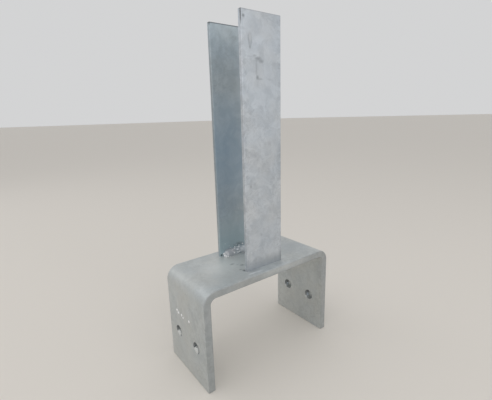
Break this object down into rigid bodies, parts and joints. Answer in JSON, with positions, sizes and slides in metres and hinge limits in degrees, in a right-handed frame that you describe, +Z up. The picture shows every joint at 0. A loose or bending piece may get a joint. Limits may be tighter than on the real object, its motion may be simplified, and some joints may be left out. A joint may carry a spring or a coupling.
{
  "type": "welded post saddle bracket",
  "caption": "Flat bar bent to an inverted U that straddles a beam, with bolt holes in each leg and two welded uprights that hold a post between them.",
  "frame": {"origin": "on the floor plane under the middle of the saddle: centre of its length and of the bar's width, at the legs' feet", "axes": "+Z up along the uprights, X along the bridge from one leg to the other, Y across the bar, the front upright at -Y"},
  "size_m": [0.173, 0.08, 0.358],
  "materials": {
    "galvanised_steel": "hot-dip galvanised mild steel, satin grey with cloudy mottling, a few runs and pimples of zinc",
    "galvanised_weld": "hot-dip galvanised weld bead, rippled and lumpy, brighter on its crests"
  },
  "bodies": {
    "root": {"saddle": "galvanised_steel", "front_upright": "galvanised_steel", "rear_upright": "galvanised_steel", "front_weld": "galvanised_weld", "rear_weld": "galvanised_weld"}
  },
  "joints": []
}
